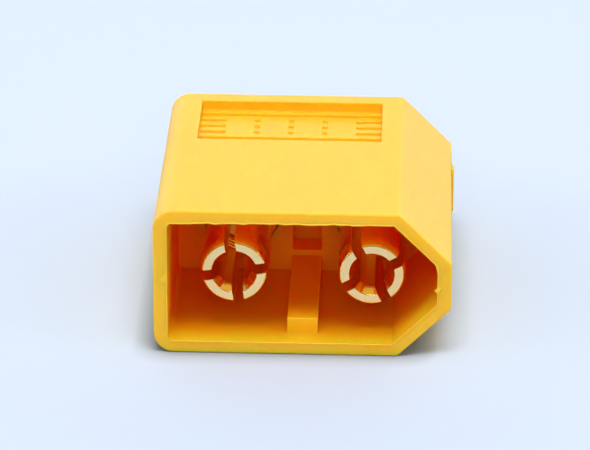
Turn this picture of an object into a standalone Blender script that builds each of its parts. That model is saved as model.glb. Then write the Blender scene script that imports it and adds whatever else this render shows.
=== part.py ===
"""The shrouded half of a two-pole high-current connector, lying on one of its broad faces.

It is three pieces: a moulded housing, hollow in front behind a keyed mouth, and two turned contacts.
Each contact is a slotted hollow bullet in front and a solder cup behind. The mating face looks
towards -Y, and the chamfered corners of the key are at +X.
"""

import math

import bmesh
import bpy
from mathutils import Vector

MM = 0.001

# Housing: outer body, whose narrow and key sides draw in by the draft from the rear to the mating face
BODY_WIDTH = 15.64 * MM
BODY_HEIGHT = 8.1 * MM
BODY_LENGTH = 16.1 * MM
KEY_CHAMFER = 2.73 * MM
SQUARE_CORNER_RADIUS = 1.1 * MM
KEY_CORNER_RADIUS = 0.3 * MM
EDGE_BREAK = 0.06 * MM
SIDE_DRAFT = 0.07 * MM

# Housing: shroud, with its floor rib and the pocket in its back wall
SIDE_WALL = 0.79 * MM
BROAD_WALL = 0.69 * MM
KEY_WALL = 0.755 * MM
MOUTH_CHAMFER = 0.1 * MM
CAVITY_DEPTH = 8.95 * MM
CAVITY_CORNER_RADIUS = 0.3 * MM
CAVITY_KEY_RADIUS = 0.08 * MM
RIB_WIDTH = 1.6 * MM
RIB_HEIGHT = 0.9 * MM
RIB_SETBACK = 1.11 * MM
RIB_EDGE = 0.06 * MM
POCKET_WIDTH = 1.58 * MM
POCKET_HEIGHT = 4.3 * MM
POCKET_DEPTH = 1.5 * MM

# Housing: grooved grip panel in each broad face, with four blank lands across the upper one's middle grooves
PANEL_WIDTH = 9.97 * MM
PANEL_LENGTH = 5.41 * MM
PANEL_OFFSET_X = -1.045 * MM
PANEL_REAR_MARGIN = 1.05 * MM
PANEL_DEPTH = 0.58 * MM
GROOVE_PITCH = 0.82 * MM
GROOVE_WIDTH = 0.37 * MM
GROOVE_DEPTH = 0.2 * MM
FIRST_GROOVE = 0.57 * MM
LAND_COUNT = 4
LAND_PITCH = 1.86 * MM
LAND_WIDTH = 1.56 * MM
LAND_GROOVES = (1, 2, 3)

# Housing: one low upright rib on each narrow side
SIDE_RIB_PROUD = 0.13 * MM
SIDE_RIB_WIDTH = 0.8 * MM
SIDE_RIB_HEIGHT = 2.5 * MM
SIDE_RIB_FROM_REAR = 3.3 * MM
SIDE_RIB_EDGE = 0.07 * MM

# Contacts: bullet
CONTACT_PITCH = 7.2 * MM
TIP_SETBACK = 1.4 * MM
TIP_RADIUS = 1.67 * MM
TIP_EDGE = 0.07 * MM
TIP_TAPER = 0.6 * MM
BARREL_RADIUS = 1.82 * MM
ROOT_RADIUS = 1.72 * MM
BORE_RADIUS = 0.89 * MM
BORE_MOUTH_RADIUS = 1.2 * MM
COUNTERSINK_DEPTH = 0.54 * MM
BORE_DEPTH = 6.4 * MM
DRILL_POINT = 0.5 * MM
SLOT_WIDTH = 0.55 * MM
SLOT_LENGTH = 6.0 * MM
SLOT_TURN_SQUARE_SIDE = math.radians(8.6)
SLOT_TURN_KEY_SIDE = math.radians(28.5)

# Contacts: collar and barbed shank in the housing's wall
SEAT_GAP = 0.1 * MM
COLLAR_RADIUS = 2.05 * MM
COLLAR_PROUD = 0.15 * MM
COLLAR_EDGE = 0.08 * MM
COLLAR_LENGTH = 1.2 * MM
SHANK_RADIUS = 1.85 * MM
BARB_COUNT = 2
BARB_LENGTH = 0.7 * MM
BARB_PITCH = 1.6 * MM

# Contacts: solder cup
CUP_RADIUS = 2.25 * MM
CUP_BORE_RADIUS = 1.8 * MM
CUP_LENGTH = 3.9 * MM
CUP_DEPTH = 3.4 * MM
CUP_RING_LENGTH = 0.8 * MM
CUP_LIP_RISE = 0.35 * MM
CUP_EDGE = 0.1 * MM

# Working margins and facets
OVERRUN = 0.5 * MM
EMBED = 0.2 * MM
ROUND_STEPS = 48
SQUARE_ARC_STEPS = 7
KEY_ARC_STEPS = 3
BARREL_STEPS = 4
WELD = 1e-7

# Derived places, measured back from the mating face
OVERALL_LENGTH = BODY_LENGTH + SEAT_GAP + CUP_LENGTH
AXIS_HEIGHT = BODY_HEIGHT / 2
HOUSING_BORE_RADIUS = COLLAR_RADIUS + SEAT_GAP
PANEL_REAR = BODY_LENGTH - PANEL_REAR_MARGIN
PANEL_FRONT = PANEL_REAR - PANEL_LENGTH

HOUSING_COLOUR = (0.94, 0.56, 0.035, 1.0)
CONTACT_COLOUR = (0.88, 0.62, 0.27, 1.0)


def clear_scene():
    for obj in list(bpy.data.objects):
        bpy.data.objects.remove(obj, do_unlink=True)
    for collection in list(bpy.data.collections):
        bpy.data.collections.remove(collection)


def new_collection(name):
    collection = bpy.data.collections.new(name)
    bpy.context.scene.collection.children.link(collection)
    return collection


def new_material(name, colour, metallic, roughness):
    material = bpy.data.materials.new(name)
    material.use_nodes = True
    shader = material.node_tree.nodes["Principled BSDF"]
    shader.inputs["Base Color"].default_value = colour
    shader.inputs["Metallic"].default_value = metallic
    shader.inputs["Roughness"].default_value = roughness
    return material


def object_from_bmesh(name, bm, collection, parent):
    """A mesh object in the parent's frame, with its faces turned outwards."""
    bmesh.ops.recalc_face_normals(bm, faces=bm.faces[:])
    mesh = bpy.data.meshes.new(name)
    bm.to_mesh(mesh)
    bm.free()
    obj = bpy.data.objects.new(name, mesh)
    collection.objects.link(obj)
    obj.parent = parent
    return obj


def hide_helper(obj):
    obj.hide_render = True
    obj.display_type = "WIRE"


def fillet(before, corner, after, radius, steps):
    """Points of the arc that rounds a corner of an outline, from the side of `before`."""
    to_before = (before - corner).normalized()
    to_after = (after - corner).normalized()
    half = to_before.angle(to_after) / 2
    reach = radius / math.tan(half)
    centre = corner + (to_before + to_after).normalized() * (radius / math.sin(half))
    start = corner + to_before * reach - centre
    sweep = (corner + to_after * reach - centre).angle_signed(start)
    arc = []
    for step in range(steps + 1):
        turn = sweep * step / steps
        turned = Vector((
            start.x * math.cos(turn) - start.y * math.sin(turn),
            start.x * math.sin(turn) + start.y * math.cos(turn),
        ))
        arc.append(centre + turned)
    return arc


def keyed_outline(side, broad, key, square_radius, key_radius):
    """The connector's outline in X and Z, moved inwards by `side`, `broad` and `key` at its walls."""
    half = BODY_WIDTH / 2
    slant = math.sqrt(2) * key
    key_x = half - KEY_CHAMFER - slant + broad
    key_z = KEY_CHAMFER + slant - side
    corners = [
        (Vector((-half + side, broad)), square_radius, SQUARE_ARC_STEPS),
        (Vector((key_x, broad)), key_radius, KEY_ARC_STEPS),
        (Vector((half - side, key_z)), key_radius, KEY_ARC_STEPS),
        (Vector((half - side, BODY_HEIGHT - key_z)), key_radius, KEY_ARC_STEPS),
        (Vector((key_x, BODY_HEIGHT - broad)), key_radius, KEY_ARC_STEPS),
        (Vector((-half + side, BODY_HEIGHT - broad)), square_radius, SQUARE_ARC_STEPS),
    ]
    points = []
    for index, (corner, radius, steps) in enumerate(corners):
        before = corners[index - 1][0]
        after = corners[(index + 1) % len(corners)][0]
        points += fillet(before, corner, after, radius, steps)
    return points


def loft(name, stations, collection, parent):
    """A closed solid through outlines in X and Z, each given with its Y."""
    bm = bmesh.new()
    rings = [[bm.verts.new((p.x, y, p.y)) for p in outline] for y, outline in stations]
    count = len(rings[0])
    for front, back in zip(rings, rings[1:]):
        for i in range(count):
            j = (i + 1) % count
            bm.faces.new((front[i], front[j], back[j], back[i]))
    bm.faces.new(rings[0])
    bm.faces.new(rings[-1])
    return object_from_bmesh(name, bm, collection, parent)


def block(name, low, high, collection, parent, edge=0.0):
    """A box between two corners, its edges bevelled where `edge` is given."""
    size = Vector(high) - Vector(low)
    bm = bmesh.new()
    bmesh.ops.create_cube(bm, size=1.0)
    bmesh.ops.scale(bm, vec=size, verts=bm.verts[:])
    obj = object_from_bmesh(name, bm, collection, parent)
    obj.location = (Vector(low) + Vector(high)) / 2
    if edge:
        bevel = obj.modifiers.new("rounded edges", "BEVEL")
        bevel.width = edge
        bevel.segments = 2
    return obj


def rod_along_y(name, radius, centre_x, y_from, y_to, collection, parent):
    bm = bmesh.new()
    bmesh.ops.create_cone(
        bm, cap_ends=True, segments=ROUND_STEPS, radius1=radius, radius2=radius, depth=y_to - y_from
    )
    obj = object_from_bmesh(name, bm, collection, parent)
    obj.location = (centre_x, (y_from + y_to) / 2, AXIS_HEIGHT)
    obj.rotation_euler.x = math.pi / 2
    return obj


def boolean(obj, operation, other):
    hide_helper(other)
    modifier = obj.modifiers.new(f"{operation.lower()} {other.name}", "BOOLEAN")
    modifier.operation = operation
    modifier.solver = "EXACT"
    modifier.object = other


def groove_centres():
    """Y of each groove of a grip panel, from the rear one forwards."""
    count = int((PANEL_LENGTH - FIRST_GROOVE - GROOVE_WIDTH / 2) / GROOVE_PITCH) + 1
    return [PANEL_REAR - FIRST_GROOVE - GROOVE_PITCH * i for i in range(count)]


def groove_spans(with_lands):
    """The stretches in X that a groove is cut in, between the panel's ends and any lands."""
    left = PANEL_OFFSET_X - PANEL_WIDTH / 2
    right = PANEL_OFFSET_X + PANEL_WIDTH / 2
    if not with_lands:
        return [(left, right)]
    spans = []
    for index in range(LAND_COUNT):
        centre = PANEL_OFFSET_X + LAND_PITCH * (index - (LAND_COUNT - 1) / 2)
        spans.append((left, centre - LAND_WIDTH / 2))
        left = centre + LAND_WIDTH / 2
    return spans + [(left, right)]


def add_box(bm, low, high):
    low = Vector(low)
    size = Vector(high) - low
    made = bmesh.ops.create_cube(bm, size=1.0)
    bmesh.ops.scale(bm, vec=size, verts=made["verts"])
    bmesh.ops.translate(bm, vec=low + size / 2, verts=made["verts"])


def grip_panel_cutters(face, collection, parent):
    """The sunk panel, and then the grooves in its bottom, for the upper or the lower broad face."""
    upper = face == "upper"
    outward = 1 if upper else -1
    surface = BODY_HEIGHT if upper else 0.0
    bottom = surface - outward * PANEL_DEPTH
    outer = surface + outward * OVERRUN
    inner = bottom - outward * GROOVE_DEPTH
    above = bottom + outward * PANEL_DEPTH / 2

    panel = block(
        f"{face} panel cutter",
        (PANEL_OFFSET_X - PANEL_WIDTH / 2, PANEL_FRONT, min(bottom, outer)),
        (PANEL_OFFSET_X + PANEL_WIDTH / 2, PANEL_REAR, max(bottom, outer)),
        collection,
        parent,
    )
    bm = bmesh.new()
    for index, centre in enumerate(groove_centres()):
        for left, right in groove_spans(upper and index in LAND_GROOVES):
            low = (left, centre - GROOVE_WIDTH / 2, min(inner, above))
            high = (right, centre + GROOVE_WIDTH / 2, max(inner, above))
            add_box(bm, low, high)
    return panel, object_from_bmesh(f"{face} groove cutters", bm, collection, parent)


def make_housing(parts, cutters, parent):
    def outer(inset, draft):
        radius = SQUARE_CORNER_RADIUS - inset
        return keyed_outline(inset + draft, inset, inset + draft, radius, KEY_CORNER_RADIUS - inset)

    def inner(flare):
        return keyed_outline(
            SIDE_WALL - flare,
            BROAD_WALL - flare,
            KEY_WALL - flare,
            CAVITY_CORNER_RADIUS + flare,
            CAVITY_KEY_RADIUS + flare,
        )

    stations = [
        (0.0, outer(EDGE_BREAK, SIDE_DRAFT)),
        (EDGE_BREAK, outer(0.0, SIDE_DRAFT)),
        (BODY_LENGTH - EDGE_BREAK, outer(0.0, 0.0)),
        (BODY_LENGTH, outer(EDGE_BREAK, 0.0)),
    ]
    housing = loft("housing", stations, parts, parent)

    mouth = [
        (-MOUTH_CHAMFER, inner(2 * MOUTH_CHAMFER)),
        (MOUTH_CHAMFER, inner(0.0)),
        (CAVITY_DEPTH, inner(0.0)),
    ]
    boolean(housing, "DIFFERENCE", loft("cavity cutter", mouth, cutters, parent))

    pocket = block(
        "pocket cutter",
        (-POCKET_WIDTH / 2, CAVITY_DEPTH - EMBED, AXIS_HEIGHT - POCKET_HEIGHT / 2),
        (POCKET_WIDTH / 2, CAVITY_DEPTH + POCKET_DEPTH, AXIS_HEIGHT + POCKET_HEIGHT / 2),
        cutters,
        parent,
    )
    boolean(housing, "DIFFERENCE", pocket)

    for side, sign in (("square side", -1), ("key side", 1)):
        bore = rod_along_y(
            f"bore cutter, {side}",
            HOUSING_BORE_RADIUS,
            sign * CONTACT_PITCH / 2,
            CAVITY_DEPTH - EMBED,
            BODY_LENGTH + OVERRUN,
            cutters,
            parent,
        )
        boolean(housing, "DIFFERENCE", bore)

    for face in ("upper", "lower"):
        for cutter in grip_panel_cutters(face, cutters, parent):
            boolean(housing, "DIFFERENCE", cutter)

    floor_rib = block(
        "floor rib",
        (-RIB_WIDTH / 2, RIB_SETBACK, BROAD_WALL - EMBED),
        (RIB_WIDTH / 2, CAVITY_DEPTH + EMBED, BROAD_WALL + RIB_HEIGHT),
        cutters,
        parent,
        RIB_EDGE,
    )
    boolean(housing, "UNION", floor_rib)

    rib_y = BODY_LENGTH - SIDE_RIB_FROM_REAR
    for side, sign in (("square side", -1), ("key side", 1)):
        inner_x = sign * (BODY_WIDTH / 2 - EMBED)
        outer_x = sign * (BODY_WIDTH / 2 + SIDE_RIB_PROUD)
        side_rib = block(
            f"side rib, {side}",
            (min(inner_x, outer_x), rib_y - SIDE_RIB_WIDTH / 2, AXIS_HEIGHT - SIDE_RIB_HEIGHT / 2),
            (max(inner_x, outer_x), rib_y + SIDE_RIB_WIDTH / 2, AXIS_HEIGHT + SIDE_RIB_HEIGHT / 2),
            cutters,
            parent,
            SIDE_RIB_EDGE,
        )
        boolean(housing, "UNION", side_rib)

    housing.data.materials.append(new_material("housing yellow nylon", HOUSING_COLOUR, 0.0, 0.45))
    return housing


def contact_profile():
    """Radius and distance behind the tip, from the bullet's bore round to the cup's."""
    collar = CAVITY_DEPTH - COLLAR_PROUD - TIP_SETBACK
    collar_back = collar + COLLAR_LENGTH
    shoulder = BODY_LENGTH + SEAT_GAP - TIP_SETBACK
    end = shoulder + CUP_LENGTH
    cup_bottom = end - CUP_DEPTH

    profile = [
        (0.0, BORE_DEPTH + DRILL_POINT),
        (BORE_RADIUS, BORE_DEPTH),
        (BORE_RADIUS, COUNTERSINK_DEPTH),
        (BORE_MOUTH_RADIUS, 0.0),
        (TIP_RADIUS - TIP_EDGE, 0.0),
    ]
    for step in range(BARREL_STEPS + 1):
        share = step / BARREL_STEPS
        radius = TIP_RADIUS + (BARREL_RADIUS - TIP_RADIUS) * math.sin(share * math.pi / 2)
        profile.append((radius, TIP_EDGE + (TIP_TAPER - TIP_EDGE) * share))
    for step in range(1, BARREL_STEPS + 1):
        share = step / BARREL_STEPS
        radius = BARREL_RADIUS - (BARREL_RADIUS - ROOT_RADIUS) * (1 - math.cos(share * math.pi)) / 2
        profile.append((radius, TIP_TAPER + (SLOT_LENGTH - TIP_TAPER) * share))
    profile += [
        (ROOT_RADIUS, collar),
        (COLLAR_RADIUS - COLLAR_EDGE, collar),
        (COLLAR_RADIUS, collar + COLLAR_EDGE),
        (COLLAR_RADIUS, collar_back),
        (SHANK_RADIUS, collar_back),
    ]
    for barb in range(BARB_COUNT):
        foot = collar_back + BARB_PITCH * (barb + 1) - BARB_LENGTH
        profile += [
            (SHANK_RADIUS, foot),
            (COLLAR_RADIUS, foot + BARB_LENGTH),
            (SHANK_RADIUS, foot + BARB_LENGTH),
        ]
    profile += [
        (SHANK_RADIUS, shoulder - COLLAR_LENGTH),
        (COLLAR_RADIUS, shoulder - COLLAR_LENGTH),
        (COLLAR_RADIUS, shoulder),
        (CUP_RADIUS - CUP_EDGE, shoulder),
        (CUP_RADIUS, shoulder + CUP_EDGE),
        (CUP_RADIUS, end - CUP_EDGE),
        (CUP_RADIUS - CUP_EDGE, end),
        (CUP_BORE_RADIUS, end),
        (CUP_BORE_RADIUS, cup_bottom),
        (0.0, cup_bottom - DRILL_POINT),
    ]
    return profile


def make_contact(name, centre_x, slot_turn, material, parts, cutters, parent):
    """A turned bullet with two crossing saw cuts and a half-open solder cup; its tip is at its origin."""
    bm = bmesh.new()
    points = [bm.verts.new((radius, 0.0, -behind)) for radius, behind in contact_profile()]
    for first, second in zip(points, points[1:]):
        bm.edges.new((first, second))
    mesh = bpy.data.meshes.new(name)
    bm.to_mesh(mesh)
    bm.free()
    contact = bpy.data.objects.new(name, mesh)
    parts.objects.link(contact)
    contact.parent = parent
    contact.location = (centre_x, TIP_SETBACK, AXIS_HEIGHT)
    contact.rotation_euler.x = math.pi / 2

    turning = contact.modifiers.new("turned profile", "SCREW")
    turning.axis = "Z"
    turning.angle = 2 * math.pi
    turning.steps = ROUND_STEPS
    turning.render_steps = ROUND_STEPS
    turning.use_merge_vertices = True
    turning.merge_threshold = WELD
    turning.use_smooth_shade = True

    for cut in range(2):
        reach = BARREL_RADIUS + OVERRUN
        saw = block(
            f"{name} saw cut {cut + 1}",
            (-SLOT_WIDTH / 2, -reach, -SLOT_LENGTH),
            (SLOT_WIDTH / 2, reach, OVERRUN),
            cutters,
            contact,
        )
        saw.rotation_euler.z = slot_turn + cut * math.pi / 2
        boolean(contact, "DIFFERENCE", saw)

    shoulder = BODY_LENGTH + SEAT_GAP - TIP_SETBACK
    half_width = CUP_RADIUS + OVERRUN
    opening = block(
        f"{name} cup cut",
        (-half_width, CUP_LIP_RISE, -shoulder - CUP_LENGTH - OVERRUN),
        (half_width, half_width, -shoulder - CUP_RING_LENGTH),
        cutters,
        contact,
    )
    boolean(contact, "DIFFERENCE", opening)

    contact.data.materials.append(material)
    return contact


def main():
    clear_scene()
    parts = new_collection("two pole connector")
    cutters = new_collection("cutters")
    mating_face = bpy.data.objects.new("mating face", None)
    mating_face.location.y = -OVERALL_LENGTH / 2
    parts.objects.link(mating_face)

    make_housing(parts, cutters, mating_face)
    gilt = new_material("contact gilt brass", CONTACT_COLOUR, 1.0, 0.22)
    half_pitch = CONTACT_PITCH / 2
    make_contact(
        "contact_square_side", -half_pitch, SLOT_TURN_SQUARE_SIDE, gilt, parts, cutters, mating_face
    )
    make_contact("contact_key_side", half_pitch, SLOT_TURN_KEY_SIDE, gilt, parts, cutters, mating_face)


main()
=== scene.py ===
"""Looks of the keyed two-pole power connector: a moulded yellow housing and two gilt turned contacts.

Lengths are in metres. Each piece is modelled in the connector's own frame, where Y counts back from the
mating face, Z counts up from the underside, and the chamfered corners of the key are at +X.
"""

import math
import random

import bmesh
import bpy
from mathutils import Matrix, Vector


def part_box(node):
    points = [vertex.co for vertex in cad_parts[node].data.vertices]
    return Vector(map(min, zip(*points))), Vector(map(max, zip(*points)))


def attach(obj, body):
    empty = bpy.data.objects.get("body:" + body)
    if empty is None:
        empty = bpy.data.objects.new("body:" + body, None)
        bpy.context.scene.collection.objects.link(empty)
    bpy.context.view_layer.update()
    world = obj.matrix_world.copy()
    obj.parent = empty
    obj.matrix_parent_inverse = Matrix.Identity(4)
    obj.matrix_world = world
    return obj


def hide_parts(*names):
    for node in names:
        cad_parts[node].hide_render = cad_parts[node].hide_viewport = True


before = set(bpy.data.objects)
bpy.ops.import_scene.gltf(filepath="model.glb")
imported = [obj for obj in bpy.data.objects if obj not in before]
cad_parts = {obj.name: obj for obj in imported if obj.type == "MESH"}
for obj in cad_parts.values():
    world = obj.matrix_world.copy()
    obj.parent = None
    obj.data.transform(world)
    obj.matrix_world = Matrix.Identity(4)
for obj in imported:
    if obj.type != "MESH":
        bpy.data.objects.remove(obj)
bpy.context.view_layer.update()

MM = 0.001

# Sizes that the CAD frame gives
HOUSING_LOW, HOUSING_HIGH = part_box("housing")
CONTACT_LOW, CONTACT_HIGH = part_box("contact_key_side")
MATING_Y = HOUSING_LOW.y
BODY_LENGTH = HOUSING_HIGH.y - HOUSING_LOW.y
BODY_HEIGHT = HOUSING_HIGH.z - HOUSING_LOW.z
AXIS_HEIGHT = BODY_HEIGHT / 2
TIP_SETBACK = CONTACT_LOW.y - MATING_Y
CONTACT_OFFSET = (CONTACT_LOW.x + CONTACT_HIGH.x) / 2
CONTACT_LENGTH = CONTACT_HIGH.y - CONTACT_LOW.y
CUP_RADIUS = (CONTACT_HIGH.x - CONTACT_LOW.x) / 2

# Housing: outer body
SIDE_RIB_PROUD = 0.13 * MM
BODY_WIDTH = HOUSING_HIGH.x - HOUSING_LOW.x - 2 * SIDE_RIB_PROUD
KEY_CHAMFER = 2.73 * MM
SQUARE_CORNER_RADIUS = 1.1 * MM
KEY_CORNER_RADIUS = 0.3 * MM
SIDE_DRAFT = 0.07 * MM
FRONT_ROUND = 0.1 * MM
REAR_ROUND = 0.15 * MM

# Housing: shroud, floor rib and pocket
SIDE_WALL = 0.79 * MM
BROAD_WALL = 0.69 * MM
KEY_WALL = 0.755 * MM
MOUTH_ROUND = 0.05 * MM
CAVITY_DEPTH = 8.95 * MM
CAVITY_CORNER_RADIUS = 0.3 * MM
CAVITY_KEY_RADIUS = 0.1 * MM
CEILING_SLOPE = 0.0075
RIB_WIDTH = 1.6 * MM
RIB_HEIGHT = 0.9 * MM
RIB_SETBACK = 1.11 * MM
POCKET_WIDTH = 1.58 * MM
POCKET_HEIGHT = 4.3 * MM
POCKET_DEPTH = 1.5 * MM
BORE_RADIUS = 2.15 * MM

# Housing: grooved grip panel in each broad face, with blank lands across the upper one's middle grooves
PANEL_WIDTH = 9.97 * MM
PANEL_LENGTH = 5.41 * MM
PANEL_OFFSET_X = -1.045 * MM
PANEL_REAR_MARGIN = 1.05 * MM
PANEL_DEPTH = 0.58 * MM
GROOVE_PITCH = 0.82 * MM
GROOVE_WIDTH = 0.37 * MM
GROOVE_DEPTH = 0.2 * MM
FIRST_GROOVE = 0.57 * MM
LAND_COUNT = 4
LAND_PITCH = 1.86 * MM
LAND_WIDTH = 1.56 * MM
LAND_GROOVES = (1, 2, 3)

# Housing: one low upright rib on each narrow side
SIDE_RIB_WIDTH = 0.8 * MM
SIDE_RIB_HEIGHT = 2.5 * MM
SIDE_RIB_FROM_REAR = 3.3 * MM

# Housing: rounding of the edges that the mould leaves
PANEL_RIM_ROUND = 0.06 * MM
EDGE_ROUND = 0.04 * MM
GROOVE_ROUND = 0.05 * MM

# Moulding flash: a fine bead along the mouth's edge, and torn flakes on the rim, given by X and Z in mm
FLASH_RADIUS = 0.045 * MM
FLASH_FLARE = 0.02 * MM
FLASH_STEP = 0.06 * MM
FLASH_SIDES = 8
FLASH_SEED = 7
FLASH_KNOT_STEPS = 6
FLASH_WANDER = 0.008 * MM
FLASH_WANDER_TOP = 0.035 * MM
TORN_END_SIZE = 0.4
TORN_SWELL = 1.1
FLAKE_SECTIONS = ((0.06 * MM, 1.0), (-0.02 * MM, 1.0), (-0.045 * MM, 0.9), (-0.06 * MM, 0.72))
FLAKES = (
    ((-7.13, 4.56), (-7.46, 4.16), (-7.34, 4.01), (-7.00, 4.02)),
    ((6.86, 3.83), (7.06, 4.07), (7.25, 4.03), (7.06, 3.64)),
    ((6.89, 5.30), (7.06, 5.22), (7.05, 4.72)),
    ((7.40, 5.09), (7.50, 4.90), (7.56, 4.96)),
)
TORN_EDGES = (
    ((-7.46, 4.16), (-7.30, 4.37), (-7.13, 4.56), (-7.06, 4.28), (-7.00, 4.02)),
    ((6.86, 3.83), (7.05, 3.96), (7.25, 4.03)),
    ((7.40, 5.09), (7.43, 4.97), (7.53, 4.94)),
)

# Contacts: split bullet
TIP_RADIUS = 1.67 * MM
TIP_TAPER = 0.6 * MM
BARREL_RADIUS = 1.82 * MM
ROOT_RADIUS = 1.72 * MM
SOCKET_RADIUS = 0.89 * MM
SOCKET_MOUTH_RADIUS = 1.2 * MM
COUNTERSINK_DEPTH = 0.54 * MM
SOCKET_DEPTH = 6.4 * MM
DRILL_POINT = 0.5 * MM
SLOT_WIDTH = 0.55 * MM
SLOT_LENGTH = 6.0 * MM
SLOT_TURN_SQUARE_SIDE = math.radians(8.6)
SLOT_TURN_KEY_SIDE = math.radians(28.5)
PETAL_EDGE = 0.025 * MM
TIP_EDGE = 0.08 * MM
RIDGE_HEIGHT = 0.05 * MM
RIDGE_FLANK = 0.025 * MM
RIDGE_PITCH = 0.36 * MM
RIDGED_LENGTH = 1.75 * MM

# Contacts: collar, shank and solder cup
COLLAR_RADIUS = 2.05 * MM
COLLAR_PROUD = 0.15 * MM
COLLAR_EDGE = 0.08 * MM
COLLAR_LENGTH = 1.2 * MM
SHANK_RADIUS = 1.85 * MM
CUP_BORE_RADIUS = 1.8 * MM
CUP_LENGTH = 3.9 * MM
CUP_DEPTH = 3.4 * MM
CUP_RING_LENGTH = 0.8 * MM
CUP_LIP_RISE = 0.35 * MM
CUP_EDGE = 0.1 * MM

# Facets and working margins
OVERRUN = 0.5 * MM
EMBED = 0.2 * MM
LAP = 0.01 * MM
WELD = 1e-7
FLAT_ANGLE = math.radians(0.3)
SHARP_ANGLE = math.radians(28)
SHADING_ANGLE = math.radians(50)
EDGE_STEPS = 4
SQUARE_ARC_STEPS = 14
KEY_ARC_STEPS = 6
ROUND_STEPS = 96
PETAL_ARC_STEPS = 20
PETAL_SECTIONS = 8
CORNER_STEPS = 3

# The share of a direction along an axis above which it counts as facing that way
FACING_SHARE = 0.5


# Shapes

def rotated(point, turn):
    return Vector((
        point.x * math.cos(turn) - point.y * math.sin(turn),
        point.x * math.sin(turn) + point.y * math.cos(turn),
    ))


def fillet(before, corner, after, radius, steps):
    """Points of the arc that rounds a corner of an outline, from the side of `before`."""
    to_before = (before - corner).normalized()
    to_after = (after - corner).normalized()
    half = to_before.angle(to_after) / 2
    reach = radius / math.tan(half)
    centre = corner + (to_before + to_after).normalized() * (radius / math.sin(half))
    start = corner + to_before * reach - centre
    sweep = (corner + to_after * reach - centre).angle_signed(start)
    return [centre + rotated(start, sweep * step / steps) for step in range(steps + 1)]


def keyed_outline(side, broad, key, square_radius, key_radius):
    """The connector's outline in X and Z, moved inwards by `side`, `broad` and `key` at its walls."""
    half = BODY_WIDTH / 2
    slant = math.sqrt(2) * key
    key_x = half - KEY_CHAMFER - slant + broad
    key_z = KEY_CHAMFER + slant - side
    corners = [
        (Vector((-half + side, broad)), square_radius, SQUARE_ARC_STEPS),
        (Vector((key_x, broad)), key_radius, KEY_ARC_STEPS),
        (Vector((half - side, key_z)), key_radius, KEY_ARC_STEPS),
        (Vector((half - side, BODY_HEIGHT - key_z)), key_radius, KEY_ARC_STEPS),
        (Vector((key_x, BODY_HEIGHT - broad)), key_radius, KEY_ARC_STEPS),
        (Vector((-half + side, BODY_HEIGHT - broad)), square_radius, SQUARE_ARC_STEPS),
    ]
    points = []
    for index, (corner, radius, steps) in enumerate(corners):
        before = corners[index - 1][0]
        after = corners[(index + 1) % len(corners)][0]
        points += fillet(before, corner, after, radius, steps)
    return points


def rounding(radius):
    """How far a rounded edge has drawn in, at steps of depth behind its face: pairs of depth and inset."""
    pairs = []
    for step in range(EDGE_STEPS + 1):
        angle = math.pi / 2 * step / EDGE_STEPS
        pairs.append((radius * (1 - math.cos(angle)), radius * (1 - math.sin(angle))))
    return pairs


def new_object(name, bm):
    bmesh.ops.recalc_face_normals(bm, faces=bm.faces[:])
    mesh = bpy.data.meshes.new(name)
    bm.to_mesh(mesh)
    bm.free()
    obj = bpy.data.objects.new(name, mesh)
    bpy.context.scene.collection.objects.link(obj)
    return obj


def skin(bm, rings, capped=True):
    """Faces between neighbouring rings of vertices; a ring of one vertex is a point on the axis."""
    for first, second in zip(rings, rings[1:]):
        count = max(len(first), len(second))
        for i in range(count):
            j = (i + 1) % count
            near = [first[i % len(first)], first[j % len(first)]]
            far = [second[j % len(second)], second[i % len(second)]]
            # A point on the axis comes up twice here and is a corner once
            bm.faces.new(dict.fromkeys(near + far))
    if capped:
        bm.faces.new(rings[0])
        bm.faces.new(rings[-1])


def loft(name, stations):
    """A closed solid through outlines in X and Z, each given with its Y."""
    bm = bmesh.new()
    skin(bm, [[bm.verts.new((p.x, y, p.y)) for p in outline] for y, outline in stations])
    return new_object(name, bm)


def add_box(bm, low, high):
    low = Vector(low)
    size = Vector(high) - low
    made = bmesh.ops.create_cube(bm, size=1.0)
    bmesh.ops.scale(bm, vec=size, verts=made["verts"])
    bmesh.ops.translate(bm, vec=low + size / 2, verts=made["verts"])


def boxes(name, corners):
    """One object of separate boxes, each given by two corners."""
    bm = bmesh.new()
    for low, high in corners:
        add_box(bm, low, high)
    return new_object(name, bm)


def turned(name, profile):
    """A solid of revolution about Y through pairs of radius and Y, the first and last on the axis."""
    bm = bmesh.new()
    angles = [2 * math.pi * step / ROUND_STEPS for step in range(ROUND_STEPS)]
    rings = []
    for radius, y in profile:
        if radius == 0:
            rings.append([bm.verts.new((0, y, 0))])
        else:
            rings.append([bm.verts.new((radius * math.cos(a), y, radius * math.sin(a))) for a in angles])
    skin(bm, rings, capped=False)
    return new_object(name, bm)


def apply_modifiers(obj):
    graph = bpy.context.evaluated_depsgraph_get()
    mesh = bpy.data.meshes.new_from_object(obj.evaluated_get(graph))
    obj.modifiers.clear()
    obj.data = mesh


def combine(target, tools):
    """Joins tools to the target, or cuts it with them, in order, and removes them."""
    for operation, tool in tools:
        modifier = target.modifiers.new(tool.name, "BOOLEAN")
        modifier.operation = operation
        modifier.object = tool
    apply_modifiers(target)
    for _, tool in tools:
        bpy.data.objects.remove(tool)


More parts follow.
